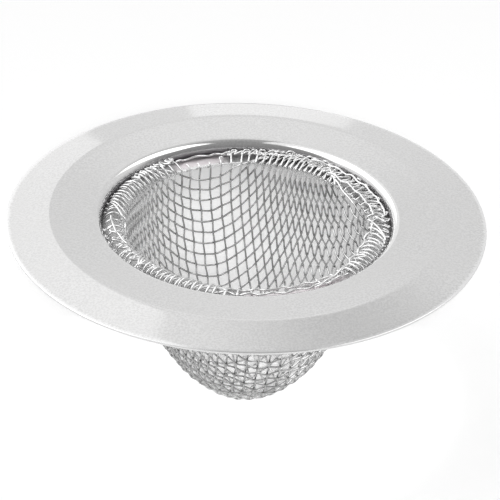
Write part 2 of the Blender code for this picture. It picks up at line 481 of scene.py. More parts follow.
def rubbed_edge_group():
    """Brighten a colour and smooth its finish where an edge mask says that handling rubbed it."""
    inputs = [
        ("Colour", "Color", None),
        ("Rubbed Colour", "Color", None),
        ("Roughness", "Float", 0.1),
        ("Rubbed Roughness", "Float", 0.1),
        ("Edge", "Float", 0.0),
        ("Grain", "Float", 0.5),
    ]
    outputs = [("Colour", "Color"), ("Roughness", "Float")]
    tree, given, result = new_group("rubbed edge", inputs, outputs)
    broken = maths(tree, "ADD", given["Edge"], maths(tree, "SUBTRACT", given["Grain"], 0.5))
    mask = rises(tree, broken, RUBBED_SPAN)
    colour = mix_colour(tree, mask, given["Colour"], given["Rubbed Colour"])
    rough = mix_value(tree, mask, given["Roughness"], given["Rubbed Roughness"])
    feed_named(tree, result, Colour=colour, Roughness=rough)
    return tree


def attribute(tree, name, output):
    """Read one of a mesh's own attributes."""
    return add(tree, "ShaderNodeAttribute", attribute_name=name).outputs[output]


def grey(level):
    """Give a neutral colour."""
    return (level, level, level, 1.0)


def mix_greys(tree, share, levels):
    """Mix two greys by a share."""
    return mix_colour(tree, share, grey(levels[0]), grey(levels[1]))


def new_steel(name):
    """Start a steel material: its tree and its shader."""
    material = bpy.data.materials.new(name)
    material.use_nodes = True
    shader = material.node_tree.nodes["Principled BSDF"]
    shader.inputs["Metallic"].default_value = 1.0
    return material, material.node_tree, shader


def bump(tree, height, depth, under=None):
    """Add a bump of the given depth, on top of another one if there is one."""
    made = feed_named(tree, add(tree, "ShaderNodeBump"), Height=height, Distance=depth)
    if under is not None:
        feed(tree, made.inputs["Normal"], under)
    return made.outputs["Normal"]


def rolled_sheen(tree, place):
    """Say how far a point lies from the sideways axis: sheet rolled that way shines less there."""
    across, away, _ = in_parts(tree, place)
    across_squared = product(tree, across, across)
    away_squared = product(tree, away, away)
    return maths(tree, "DIVIDE", away_squared, maths(tree, "ADD", across_squared, away_squared))


def rim_steel(grain_group, edge_group):
    """Polished sheet steel, duller on the drawn collar wall, with painted shade there."""
    material, tree, shader = new_steel("polished sheet steel")
    place = add(tree, "ShaderNodeTexCoord").outputs["Object"]
    grain = place_group(
        tree, grain_group, Place=place, Grain_Size=0.4 * MM, Smudge_Size=9.0 * MM,
        Roughness=0.085, Roughness_Spread=0.03,
    )
    specks = mix_greys(tree, rises(tree, grain.outputs["Grain"], SPECK_SPAN), SPECK_GREYS)
    smudged = mix_colour(tree, grain.outputs["Smudge"], specks, SMUDGE_COLOUR)
    dimmed = mix_colour(tree, CROSS_ROLLED_SHARE, BLACK, smudged)
    rolled = mix_colour(tree, rolled_sheen(tree, place), dimmed, smudged)
    # The collar wall's dark colour is painted shade, darker towards its foot; the same mark makes the wall
    # duller.
    drawn = attribute(tree, "dull shaded wall", "Fac")
    walled = mix_colour(tree, drawn, rolled, SHADED_WALL_COLOUR)
    # Painted shade darkens the ledge among the packed wires and a painted shadow darkens its foot; the
    # bare stretches keep the ledge's own colour.
    bare = attribute(tree, "bare ledge", "Fac")
    shaded_ledge = mix_colour(tree, bare, grey(PAINTED_SHADE_LEDGE_GREY), BARE_LEDGE_COLOUR)
    foot_shaded = mix_colour(tree, attribute(tree, "painted foot shadow", "Fac"), shaded_ledge, grey(FOOT_SHADOW_GREY))
    matt = attribute(tree, "matt ledge", "Fac")
    ledged = mix_colour(tree, matt, walled, foot_shaded)
    duller = maths(tree, "ADD", product(tree, drawn, DULL_ROUGHNESS), product(tree, matt, DULL_ROUGHNESS))
    edge = place_group(
        tree, edge_group, Colour=ledged, Rubbed_Colour=grey(CUT_EDGE_GREY),
        Roughness=maths(tree, "ADD", grain.outputs["Roughness"], duller), Rubbed_Roughness=0.12,
        Edge=attribute(tree, "cut edge", "Fac"), Grain=grain.outputs["Grain"],
    )
    waved = bump(tree, noise_value(tree, place, WAVE_SIZE, 1.0), WAVE_DEPTH)
    feed_named(
        tree, shader, Base_Color=edge.outputs["Colour"], Roughness=edge.outputs["Roughness"],
        Normal=bump(tree, grain.outputs["Grain"], SHEET_GRAIN_DEPTH, waved),
    )
    return material


def paint_cloth_light(tree, woven):
    """Paint light on the cloth at the left, low on the right and at the tip; paint shade on it low in
    front.
    """
    across, away, up = in_parts(tree, add(tree, "ShaderNodeTexCoord").outputs["Object"])
    low = falls(tree, up, LOW_CLOTH_Z)
    changes = [
        (falls(tree, across, LIT_LEFT_X), LIT_LEFT_GREY),
        (product(tree, falls(tree, away, SHADED_FRONT_Y), low), SHADED_FRONT_GREY),
        (product(tree, rises(tree, across, LIT_RIGHT_X), low), LIT_RIGHT_GREY),
        (falls(tree, up, LIT_TIP_Z), LIT_TIP_GREY),
    ]
    for share, level in changes:
        woven = mix_colour(tree, share, woven, grey(level))
    return woven


def wire_steel(grain_group, edge_group):
    """Bright drawn wire, with marks along its length and darker where it bears on the next."""
    material, tree, shader = new_steel("bright drawn wire")
    grain = place_group(
        tree, grain_group, Place=attribute(tree, "draw marks", "Vector"), Grain_Size=0.06 * MM,
        Smudge_Size=0.5 * MM, Roughness=0.12, Roughness_Spread=0.06,
    )
    shade = attribute(tree, "wire tone", "Fac")
    # The woven wires carry painted shade and painted light by place; the loose wires are painted brighter
    # than the woven ones.
    woven = paint_cloth_light(tree, mix_greys(tree, shade, SHADED_WOVEN_GREYS))
    held = attribute(tree, "weave", "Fac")
    tone = mix_colour(tree, held, mix_greys(tree, shade, LIT_LOOSE_GREYS), woven)
    worn = product(tree, maths(tree, "SUBTRACT", 1.0, held), LOOSE_ROUGHNESS)
    marks = product(tree, grain.outputs["Grain"], DRAW_MARK_SHARE)
    marked = mix_colour(tree, marks, tone, grey(DRAW_MARK_GREY))
    bearing = product(tree, attribute(tree, "bearing", "Fac"), BEARING_SHARE)
    edge = place_group(
        tree, edge_group, Colour=mix_colour(tree, bearing, marked, grey(BEARING_GREY)),
        Rubbed_Colour=grey(TIP_GREY), Roughness=maths(tree, "ADD", grain.outputs["Roughness"], worn),
        Rubbed_Roughness=0.1, Edge=attribute(tree, "tip", "Fac"), Grain=grain.outputs["Grain"],
    )
    feed_named(
        tree, shader, Base_Color=edge.outputs["Colour"], Roughness=edge.outputs["Roughness"],
        Normal=bump(tree, grain.outputs["Grain"], WIRE_GRAIN_DEPTH),
    )
    return material


def bend(corner, before, after, radius, steps):
    """Round one corner of a path: points on the arc, each with its right-hand normal."""
    into = (corner - before).normalized()
    out = (after - corner).normalized()
    turn = into.angle_signed(out)
    side = 1.0 if turn > 0 else -1.0
    start_normal = Vector((into.y, -into.x))
    reach = radius * math.tan(abs(turn) / 2)
    centre = corner - into * reach + start_normal * (side * radius)
    arc = []
    for step in range(steps + 1):
        angle = -turn * step / steps
        normal = Vector((
            start_normal.x * math.cos(angle) - start_normal.y * math.sin(angle),
            start_normal.x * math.sin(angle) + start_normal.y * math.cos(angle),
        ))
        arc.append((centre - normal * (side * radius), normal))
    return arc


def filled(path):
    """Add points along a path's straight stretches."""
    full = [path[0]]
    for point, normal in path[1:]:
        last, last_normal = full[-1]
        pieces = max(1, math.ceil((point - last).length / BAND_STEP))
        for piece in range(1, pieces + 1):
            share = piece / pieces
            full.append((last.lerp(point, share), last_normal.lerp(normal, share).normalized()))
    return full


def rim_underside():
    """List the points of the sheet's lower face from the outer edge in, with their normals."""
    collar_back = COLLAR_RADIUS + SHEET_THICKNESS
    crease_top = CREASE_HEIGHT - SHEET_THICKNESS
    lip_top = crease_top - LIP_DROP
    ledge_back = LEDGE_HEIGHT - SHEET_THICKNESS
    outer_edge = Vector((RIM_RADIUS, 0.0))
    crease = Vector((CREASE_RADIUS, crease_top))
    lip = Vector((collar_back, lip_top))
    corner = Vector((collar_back, ledge_back))
    hole_edge = Vector((HOLE_RADIUS, ledge_back))
    first = (crease - outer_edge).normalized()
    last = (hole_edge - corner).normalized()
    path = [(outer_edge + first * CUT_EDGE_ROUND, Vector((first.y, -first.x)))]
    path += bend(crease, outer_edge, lip, CREASE_BEND, BEND_STEPS)
    path += bend(lip, crease, corner, LIP_BEND, BEND_STEPS)
    path += bend(corner, lip, hole_edge, LEDGE_BEND + SHEET_THICKNESS, BEND_STEPS)
    path.append((hole_edge - last * CUT_EDGE_ROUND, Vector((last.y, -last.x))))
    return filled(path)


def cut_edge(point, outwards, normal):
    """Round off the sheet's cut edge, from its lower face to its upper face."""
    corner_steps = BEND_STEPS // 2
    low, high = [], []
    for step in range(corner_steps + 1):
        angle = math.pi / 2 * step / corner_steps
        away = outwards * (CUT_EDGE_ROUND * math.sin(angle))
        rise = CUT_EDGE_ROUND * (1.0 - math.cos(angle))
        low.append(point + away + normal * rise)
        high.append(point + away + normal * (SHEET_THICKNESS - rise))
    return low + high[::-1]


def rim_section():
    """List the sheet's closed section.

    Each point has marks for the cut edge, the dull wall with its painted shade, the matt ledge and the
    painted shadow at its foot.
    """
    path = rim_underside()
    start, start_normal = path[0]
    end, end_normal = path[-1]
    start_out = (start - path[1][0]).normalized()
    end_out = (end - path[-2][0]).normalized()
    wall_foot = LEDGE_HEIGHT + LEDGE_BEND
    wall_top = LEDGE_HEIGHT + COLLAR_DEPTH * DULL_SHADED_WALL_SHARE
    section = []
    for point in cut_edge(start, start_out, start_normal)[::-1]:
        section.append((point, 1.0))
    for point, _ in path[1:-1]:
        section.append((point, 0.0))
    for point in cut_edge(end, end_out, end_normal):
        section.append((point, 1.0))
    for point, normal in path[1:-1][::-1]:
        section.append((point + normal * SHEET_THICKNESS, 0.0))
    marked = []
    for point, edge in section:
        # The wall mark dulls the collar wall and carries its painted shade, darker towards the foot.
        near_wall = point.x < COLLAR_RADIUS + SHEET_THICKNESS * DULL_SHADED_SHEET_SHARE
        depth_share = (wall_top - point.y) / (wall_top - wall_foot)
        on_wall = near_wall and point.y > LEDGE_HEIGHT + LEDGE_BEND / 2
        drawn = max(0.0, min(1.0, depth_share)) if on_wall else 0.0
        matt = 1.0 if point.x < COLLAR_RADIUS and point.y < LEDGE_HEIGHT + LEDGE_BEND else 0.0
        # Painted shadow at the collar's foot, fading out across the ledge.
        foot = max(0.0, min(1.0, 1.0 - (COLLAR_RADIUS - point.x) / FOOT_SHADOW_WIDTH))
        marked.append((point, edge, drawn, matt, foot))
    return marked


def put_in_scene(name, data):
    """Make an object of a mesh, a lamp or a camera, and put it in the scene."""
    made = bpy.data.objects.new(name, data)
    bpy.context.scene.collection.objects.link(made)
    return made


def store(mesh, name, values):
    """Keep one number for each vertex under a name."""
    kept = mesh.attributes.new(name, "FLOAT", "POINT")
    kept.data.foreach_set("value", values)


def within(turn, stretches):
    """Say how fully a direction lies in a stretch: 1 between its middle two, 0 outside."""
    degrees = math.degrees(turn) % 360.0
    share = 0.0
    for low, low_full, high_full, high in stretches:
        rise = (degrees - low) / (low_full - low)
        fall = (high - degrees) / (high - high_full)
        share = max(share, min(1.0, rise, fall))
    return share


def make_rim(material):
    """Turn the folded sheet's fine section once round the axis."""
    section = rim_section()
    count = len(section)
    corners, faces, bare, foot_shadows = [], [], [], []
    for step in range(RIM_STEPS):
        turn = math.tau * step / RIM_STEPS
        bare.extend([within(turn, BARE_LEDGE)] * count)
        # The painted foot shadow is lighter where few wires lie.
        darkness = 1.0 + (LIGHTER_FOOT_SHADOW_SHARE - 1.0) * within(turn, LIGHTER_FOOT_SHADOW)
        foot_shadows.extend(row[-1] * darkness for row in section)
        for point, *_ in section:
            corners.append((point.x * math.cos(turn), point.x * math.sin(turn), point.y))
        base = step * count
        after = (step + 1) % RIM_STEPS * count
        for i in range(count):
            j = (i + 1) % count
            faces.append((base + i, after + i, after + j, base + j))
    mesh = bpy.data.meshes.new("rim")
    mesh.from_pydata(corners, [], faces)
    for place, mark in enumerate(("cut edge", "dull shaded wall", "matt ledge")):
        store(mesh, mark, [row[place + 1] for row in section] * RIM_STEPS)
    store(mesh, "bare ledge", bare)
    store(mesh, "painted foot shadow", foot_shadows)
    mesh.shade_smooth()
    mesh.materials.append(material)
    return put_in_scene("rim", mesh)


def cloth_profile():
    """Walk up the cloth's side view: the bowl, over the ledge's edge, and up the collar.

    Each row has the arc length from the tip, the radius and the height.
    """
    line = []
    for step in range(PROFILE_STEPS + 1):
        radius_share = math.sin(math.pi / 2 * step / PROFILE_STEPS)
        depth_share = (1.0 - radius_share ** TIP_POWER) ** (1.0 / MOUTH_POWER)
        line.append((MOUTH_RADIUS * radius_share, LEDGE_HEIGHT - BASKET_DEPTH * depth_share))
    for step in range(1, BEND_STEPS + 1):
        angle = math.pi / 2 * step / BEND_STEPS
        line.append((
            HOLE_RADIUS - CLOTH_STANDOFF * math.cos(angle),
            LEDGE_HEIGHT + CLOTH_STANDOFF * math.sin(angle),
        ))
    wall = COLLAR_RADIUS - CLOTH_STANDOFF
    floor = LEDGE_HEIGHT + CLOTH_STANDOFF
    for step in range(BEND_STEPS + 1):
        angle = math.pi / 2 * step / BEND_STEPS
        line.append((
            wall - COLLAR_CORNER * (1.0 - math.sin(angle)),
            floor + COLLAR_CORNER * (1.0 - math.cos(angle)),
        ))
    line.append((wall, floor + COLLAR_CORNER + COLLAR_CLIMB))
    profile = [(0.0, *line[0])]
    for radius, height in line[1:]:
        arc, last_radius, last_height = profile[-1]
        profile.append((arc + math.hypot(radius - last_radius, height - last_height), radius, height))
    return profile


PROFILE = cloth_profile()
MOUTH_ARC = PROFILE[PROFILE_STEPS][0]
LEDGE_ARC = PROFILE[PROFILE_STEPS + BEND_STEPS][0]
WALL_ARC = PROFILE[-2][0]
PITCH = MOUTH_ARC / (WIRES_FROM_AXIS + MOUTH_MESH_SHARE)


def cloth_slope(arc):
    """Find the side view's radius, height and direction at an arc length from the tip."""
    piece = max(1, min(bisect_right(PROFILE, (arc,)), len(PROFILE) - 1))
    arc_a, radius_a, height_a = PROFILE[piece - 1]
    arc_b, radius_b, height_b = PROFILE[piece]
    length = arc_b - arc_a
    across = (radius_b - radius_a) / length
    up = (height_b - height_a) / length
    return radius_a + across * (arc - arc_a), height_a + up * (arc - arc_a), across, up


def on_cloth(arc, turn):
    """Give the cloth's point at an arc length from the tip, turned round the axis."""
    radius, height, _, _ = cloth_slope(arc)
    return Vector((radius * math.cos(turn), radius * math.sin(turn), height))


def inward(arc, turn):
    """Give the cloth's unit normal, which points into the basket and up from the ledge."""
    _, _, across, up = cloth_slope(arc)
    return Vector((-up * math.cos(turn), -up * math.sin(turn), across)).normalized()


def next_crossing(first, second, shared):
    """Find the crossing one pitch from two others, which share a neighbour."""
    first_point = on_cloth(*first)
    second_point = on_cloth(*second)
    guess = first_point + second_point - on_cloth(*shared)
    turn = math.atan2(guess.y, guess.x)
    arc = math.sqrt(first[0] ** 2 + second[0] ** 2 - shared[0] ** 2)
    for _ in range(SOLVER_STEPS):
        radius, _, across, up = cloth_slope(arc)
        here = on_cloth(arc, turn)
        climb = Vector((across * math.cos(turn), across * math.sin(turn), up))
        round_axis = Vector((-radius * math.sin(turn), radius * math.cos(turn), 0.0))
        to_first = here - first_point
        to_second = here - second_point
        miss_first = (PITCH ** 2 - to_first.length_squared) / 2
        miss_second = (PITCH ** 2 - to_second.length_squared) / 2
        a, b = to_first.dot(climb), to_first.dot(round_axis)
        c, d = to_second.dot(climb), to_second.dot(round_axis)
        scale = a * d - b * c
        arc += (miss_first * d - b * miss_second) / scale
        turn += (a * miss_second - c * miss_first) / scale
    return arc, turn


def quarter_net(first_turn, second_turn):
    """Drape square cloth over the bowl between two of its straight wires' directions."""
    net = {(0, 0): (0.0, 0.0)}
    for step in range(1, WIRES_FROM_AXIS + 1):
        net[step, 0] = (step * PITCH, first_turn)
        net[0, step] = (step * PITCH, second_turn)
    for i in range(1, WIRES_FROM_AXIS + 1):
        for j in range(1, WIRES_FROM_AXIS + 1):
            if (i - 1, j) not in net or (i, j - 1) not in net:
                continue
            arc, turn = next_crossing(net[i - 1, j], net[i, j - 1], net[i - 1, j - 1])
            if arc < MOUTH_ARC:
                net[i, j] = (arc, turn)
    return net


RIGHT, BACK, LEFT, FRONT = (math.radians(degrees) for degrees in CLOTH_DIRECTIONS)
NETS = {
    (True, True): quarter_net(RIGHT, BACK),
    (False, True): quarter_net(LEFT, BACK),
    (False, False): quarter_net(LEFT, FRONT),
    (True, False): quarter_net(RIGHT, FRONT),
}


def crossing(i, j):
    """Look a crossing up in any quarter: arc length and turn, or None past the mouth."""
    return NETS[i >= 0, j >= 0].get((abs(i), abs(j)))


def brim_place(turn):
    """Read the brim's arch, climb, hook width and hook length in a direction, in metres."""
    degrees = math.degrees(turn) % 360.0
    for before, after in zip(BRIM_PLACES, BRIM_PLACES[1:]):
        if degrees <= after[0]:
            share = (degrees - before[0]) / (after[0] - before[0])
            return [(a + (b - a) * share) * MM for a, b in zip(before[1:], after[1:])]
    return [value * MM for value in BRIM_PLACES[-1][1:]]


def run_out(last, before, length):
    """Carry a wire straight on over the brim, up to an arc length from the bowl's tip.

    On a surface of revolution a straight line keeps the radius times the sine of its
    angle from the uphill direction.
    """
    arc, turn = last
    arc_before, turn_before = before
    radius = cloth_slope(arc)[0]
    sideways = radius * math.remainder(turn - turn_before, math.tau)
    heading = math.atan2(sideways, arc - arc_before)
    slant = min(1.0, abs(heading) / SLANT_KEPT)
    heading *= SLANT_SHARE + (1.0 - SLANT_SHARE) * slant ** 2
    kept = radius * math.sin(heading)
    places = []
    for _ in range(BRIM_STEPS_MOST):
        radius = cloth_slope(arc)[0]
        sine = max(-1.0, min(1.0, kept / radius))
        cosine = max(math.sqrt(1.0 - sine * sine), CLIMB_LEAST)
        arc += cosine * BRIM_STEP
        turn += sine / radius * BRIM_STEP
        if arc > length:
            break
        places.append((arc, turn))
    return places


def stray(point):
    """Displace a crossing a little along the cloth, alike for both wires that meet there."""
    field = noise.noise_vector(point / STRAY_LENGTH)
    reach = STRAY * min(1.0, math.hypot(point.x, point.y) / STRAY_LENGTH)
    return Vector(field) * reach


def leaned(point):
    """Lean the basket a little to the right towards its tip, as the photographed one does."""
    share = max(0.0, (LEDGE_HEIGHT - point.z) / BASKET_DEPTH)
    return point + Vector((BASKET_LEAN * share, 0.0, 0.0))


def hooked(places, width, length):
    """Turn a wire's end round sideways, and lead it back a little."""
    if abs(width) < HOOK_LEAST:
        return places
    arc, turn = places[-1]
    radius = cloth_slope(arc)[0]
    bent = list(places)
    for step in range(1, HOOK_STEPS + 1):
        angle = math.pi * step / HOOK_STEPS
        sideways = width / 2 * (1.0 - math.cos(angle))
        bent.append((arc + abs(width) / 2 * math.sin(angle), turn + sideways / radius))
    for step in range(1, round(length / BRIM_STEP) + 1):
        bent.append((arc - step * BRIM_STEP, turn + width / radius))
    return bent


def brim_points(places, layer, dice):
    """Lay one wire's end over the ledge: points, normals, layers and tip marks."""
    points = []
    if not places:
        return points
    arch, _, width, length = brim_place(places[-1][1])
    arch *= dice.uniform(*ARCH_SPREAD)
    width *= dice.uniform(*HOOK_WIDTH_SPREAD)
    length *= dice.uniform(*HOOK_LENGTH_SPREAD)
    sway = dice.gauss(0.0, SWAY) - LEAN * within(places[-1][1], LEANING)
    bent = hooked(places, width, length)
    for place, (arc, turn) in enumerate(bent):
        past_end = max(0, place - len(places) + 1) / len(bent)
        on_ledge = max(0.0, min(1.0, (arc - MOUTH_ARC) / (WALL_ARC - MOUTH_ARC)))
        side = Vector((-math.sin(turn), math.cos(turn), 0.0))
        lift = arch * math.sin(math.pi * on_ledge) + HOOK_RISE * past_end
        point = on_cloth(arc, turn) + inward(arc, turn) * lift + side * (sway * place / len(bent))
        points.append((point, inward(arc, turn), layer, 0.0))
    points[-1] = (*points[-1][:3], 1.0)
    return points


def cross_route(start, end, radii, height, dice):
    """List the points of one wire that lies across the others on the brim."""
    middle_radius = radii[1]
    span = math.radians(end - start)
    count = max(2, round(span * middle_radius * MM / CROSS_STEP))
    route = []
    side = 1.0
    for step in range(count + 1):
        share = step / count
        turn = math.radians(start) + span * share
        outer = radii[0] + (radii[2] - radii[0]) * share
        middle = (radii[0] + radii[2]) / 2
        radius = (outer + (middle_radius - middle) * 4.0 * share * (1.0 - share)) * MM
        arc = LEDGE_ARC + radius - HOLE_RADIUS
        if step % 2 == 0:
            side = -side
        arc += dice.gauss(0.0, CROSS_WANDER)
        lift = height * MM + side * CROSS_SWING + dice.gauss(0.0, CROSS_UNEVEN)
        point = on_cloth(arc, turn) + inward(arc, turn) * lift
        tip = 1.0 if step in (0, count) else 0.0
        route.append((point, inward(arc, turn), 0.0, 0.0, tip))
    return route


def curled_route(start, end, radii, height, length, lean, dice):
    """List the points of one wire that runs along the brim in uneven curls."""
    middle = (radii[0] + radii[1]) / 2 * MM
    reach = (radii[1] - radii[0]) / 2 * MM
    turn = math.radians(start)
    route = []
    while turn < math.radians(end):
        curl = length * MM * dice.uniform(*CURL_LENGTH_SPREAD)
        outwards = reach * dice.uniform(*CURL_OUT_SPREAD)
        inwards = reach * dice.uniform(*CURL_IN_SPREAD)
        for step in range(CURL_POINTS):
            swing = math.sin(math.tau * step / CURL_POINTS)
            radius = middle + swing * (outwards if swing > 0.0 else inwards)
            sideways = curl * step / CURL_POINTS - lean * MM * swing
            arc = LEDGE_ARC + radius - HOLE_RADIUS
            place = turn + sideways / middle
            lift = height * MM * dice.uniform(*CURL_HEIGHT_SPREAD)
            point = on_cloth(arc, place) + inward(arc, place) * lift
            route.append((point, inward(arc, place), 0.0, 0.0, 0.0))
        turn += curl / middle
    return route


def wire_route(number, is_warp, dice):
    """List one wire's points from tip to tip, each with its normal, layer, weave and tip marks.

    A wire that only skirts the basket's mouth is left out.
    """
    crossings = []
    for step in range(-WIRES_FROM_AXIS, WIRES_FROM_AXIS + 1):
        place = crossing(number, step) if is_warp else crossing(step, number)
        if place is not None:
            crossings.append((step, place))
    if len(crossings) < CROSSINGS_LEAST:
        return []
    family = 1 if is_warp else -1
    woven = []
    for step, (arc, turn) in crossings:
        near_mouth = arc > MOUTH_ARC - PITCH / 2
        side = family if (number + step) % 2 == 0 or near_mouth else -family
        point = on_cloth(arc, turn)
        woven.append((point + stray(point), inward(arc, turn), float(side), 0.0))
    places = [place for _, place in crossings]
    ends = []
    for last, before in ((places[0], places[1]), (places[-1], places[-2])):
        arc_end = WALL_ARC + brim_place(last[1])[1] * dice.uniform(*CLIMB_SPREAD)
        ends.append(brim_points(run_out(last, before, arc_end), float(family), dice))
    route = []
    for points, weave in ((ends[0][::-1], 0.0), (woven, 1.0), (ends[1], 0.0)):
        for point, normal, layer, tip in points:
            route.append((leaned(point), normal, layer, weave, tip))
    return route


def cloth_routes(name, is_warp, dice):
    """Draw one family of wires as a mesh of open lines, with what each point needs."""
    routes = []
    for number in range(-WIRES_FROM_AXIS, WIRES_FROM_AXIS + 1):
        routes.append(wire_route(number, is_warp, dice))
    if is_warp:
        for start, end, first, middle, last, height in CROSS_WIRES:
            routes.append(cross_route(start, end, (first, middle, last), height, dice))
    else:
        for start, end, inner, outer, height, length, lean in CURLED_WIRES:
            routes.append(curled_route(start, end, (inner, outer), height, length, lean, dice))
    corners, edges, normals = [], [], []
    layers, weaves, tips, tones = [], [], [], []
    for route in routes:
        tone = dice.random()
        base = len(corners)
        for point, normal, layer, weave, tip in route:
            corners.append(point)
            normals.extend(normal)
            layers.append(layer)
            weaves.append(weave)
            tips.append(tip)
            tones.append(tone)
        edges.extend((i, i + 1) for i in range(base, len(corners) - 1))
    mesh = bpy.data.meshes.new(name)
    mesh.from_pydata(corners, edges, [])
    store(mesh, "layer", layers)
    store(mesh, "weave", weaves)
    store(mesh, "tip", tips)
    store(mesh, "wire tone", tones)
    kept = mesh.attributes.new("cloth normal", "FLOAT_VECTOR", "POINT")
    kept.data.foreach_set("vector", normals)
    return put_in_scene(name, mesh)


def named(tree, name, kind="FLOAT"):
    """Read a named attribute in a geometry tree."""
    made = add(tree, "GeometryNodeInputNamedAttribute", data_type=kind)
    made.inputs["Name"].default_value = name
    return made.outputs["Attribute"]


def keep_named(tree, geometry, name, kind, value):
    """Store a named attribute on a geometry's points."""
    made = add(tree, "GeometryNodeStoreNamedAttribute", data_type=kind, domain="POINT")
    return feed_named(tree, made, Geometry=geometry, Name=name, Value=value).outputs["Geometry"]


def woven_curves(tree, given):
    """Turn drawn lines into smooth curves, lifted to one side of the cloth or the other."""
    lines = feed_named(tree, add(tree, "GeometryNodeMeshToCurve"), Mesh=given["Geometry"])
    reach = maths(tree, "DIVIDE", maths(tree, "ADD", given["Wire Diameter"], given["Weave Gap"]), 2.0)
    lift = product(tree, named(tree, "layer"), reach)
    offset = vector_maths(tree, "SCALE", named(tree, "cloth normal", "FLOAT_VECTOR"), lift)
    woven = add(tree, "GeometryNodeSetPosition")
    feed_named(tree, woven, Geometry=lines.outputs["Curve"], Offset=offset)
    smooth = add(tree, "GeometryNodeCurveSplineType", spline_type="CATMULL_ROM")
    feed_named(tree, smooth, Curve=woven.outputs["Geometry"])
    fine = add(tree, "GeometryNodeSetSplineResolution")
    feed_named(tree, fine, Geometry=smooth.outputs["Curve"], Resolution=given["Points Between"])
    drawn = add(tree, "GeometryNodeResampleCurve", mode="EVALUATED")
    return feed_named(tree, drawn, Curve=fine.outputs["Geometry"]).outputs["Curve"]


def trembled(tree, given, curves):
    """Shake curves a little along their way, as hands and presses leave wire."""
    place = add(tree, "GeometryNodeInputPosition").outputs["Position"]
    finer = vector_maths(tree, "SCALE", place, maths(tree, "DIVIDE", 1.0, given["Tremble Length"]))
    wobble = add(tree, "ShaderNodeTexNoise", noise_dimensions="4D")
    feed_named(tree, wobble, Vector=finer, W=given["Seed"], Scale=1.0)
    centred = vector_maths(tree, "SUBTRACT", wobble.outputs["Color"], (0.5, 0.5, 0.5))
    shake = vector_maths(tree, "SCALE", centred, product(tree, given["Tremble"], 2.0))
    shaken = add(tree, "GeometryNodeSetPosition")
    return feed_named(tree, shaken, Geometry=curves, Offset=shake).outputs["Geometry"]


def round_wires(tree, given, curves):
    """Sweep a ring along curves; keep where wires bear on each other, and their draw marks."""
    layer = named(tree, "layer")
    pressed = product(tree, layer, layer, named(tree, "weave"))
    pressed_curves = keep_named(tree, curves, "bearing", "FLOAT", pressed)
    length = add(tree, "GeometryNodeSplineParameter").outputs["Length"]
    measured = keep_named(tree, pressed_curves, "length", "FLOAT", length)

    ring = add(tree, "GeometryNodeCurvePrimitiveCircle", mode="RADIUS")
    radius = maths(tree, "DIVIDE", given["Wire Diameter"], 2.0)
    feed_named(tree, ring, Resolution=given["Sides"], Radius=radius)
    ring_place = add(tree, "GeometryNodeInputPosition").outputs["Position"]
    marked_ring = keep_named(tree, ring.outputs["Curve"], "ring place", "FLOAT_VECTOR", ring_place)
    tube = add(tree, "GeometryNodeCurveToMesh")
    feed_named(tree, tube, Curve=measured, Profile_Curve=marked_ring, Fill_Caps=True)

    slow = maths(tree, "DIVIDE", named(tree, "length"), DRAW_MARK_STRETCH)
    shifted = product(tree, named(tree, "wire tone"), DRAW_MARKS_APART)
    moved = feed_named(tree, add(tree, "ShaderNodeCombineXYZ"), X=shifted, Z=slow).outputs["Vector"]
    marks = vector_maths(tree, "ADD", named(tree, "ring place", "FLOAT_VECTOR"), moved)
    return keep_named(tree, tube.outputs["Mesh"], "draw marks", "FLOAT_VECTOR", marks)


def wire_tree():
    """Build the tree that turns drawn lines into woven round wires."""
    inputs = [
        ("Geometry", "Geometry", None),
        ("Wire Diameter", "Float", WIRE_DIAMETER),
        ("Weave Gap", "Float", WEAVE_GAP),
        ("Sides", "Int", WIRE_SIDES),
        ("Points Between", "Int", WIRE_POINTS_BETWEEN),
        ("Tremble", "Float", WIRE_TREMBLE),
        ("Tremble Length", "Float", TREMBLE_LENGTH),
        ("Seed", "Float", 0.0),
        ("Steel", "Material", None),
    ]
    outputs = [("Geometry", "Geometry")]
    tree, given, result = new_group("woven wires", inputs, outputs, "GeometryNodeTree")
    wires = round_wires(tree, given, trembled(tree, given, woven_curves(tree, given)))
    rounded = feed_named(tree, add(tree, "GeometryNodeSetShadeSmooth"), Geometry=wires)
    real = add(tree, "GeometryNodeRealizeInstances")
    feed_named(tree, real, Geometry=rounded.outputs["Geometry"])
    finish = add(tree, "GeometryNodeSetMaterial")
    feed_named(tree, finish, Geometry=real.outputs["Geometry"], Material=given["Steel"])
    feed_named(tree, result, Geometry=finish.outputs["Geometry"])
    return tree


def weave(name, is_warp, tree, steel, dice, seed):
    """Make one family of wires: draw its lines, run the tree and keep the plain mesh."""
    lines = cloth_routes(name + "_lines", is_warp, dice)
    modifier = lines.modifiers.new("wires", "NODES")
    modifier.node_group = tree
    values = {
        "Wire Diameter": WIRE_DIAMETER,
        "Weave Gap": WEAVE_GAP,
        "Sides": WIRE_SIDES,
        "Points Between": WIRE_POINTS_BETWEEN,
        "Tremble": WIRE_TREMBLE,
        "Tremble Length": TREMBLE_LENGTH,
        "Seed": seed,
        "Steel": steel,
    }
    for item in tree.interface.items_tree:
        if item.in_out == "INPUT" and item.name in values:
            modifier[item.identifier] = values[item.name]
    graph = bpy.context.evaluated_depsgraph_get()
    mesh = bpy.data.meshes.new_from_object(
        lines.evaluated_get(graph), preserve_all_data_layers=True, depsgraph=graph
    )
    lines.modifiers.remove(modifier)
    bpy.data.objects.remove(lines, do_unlink=True)
    mesh.name = name
    return put_in_scene(name, mesh)


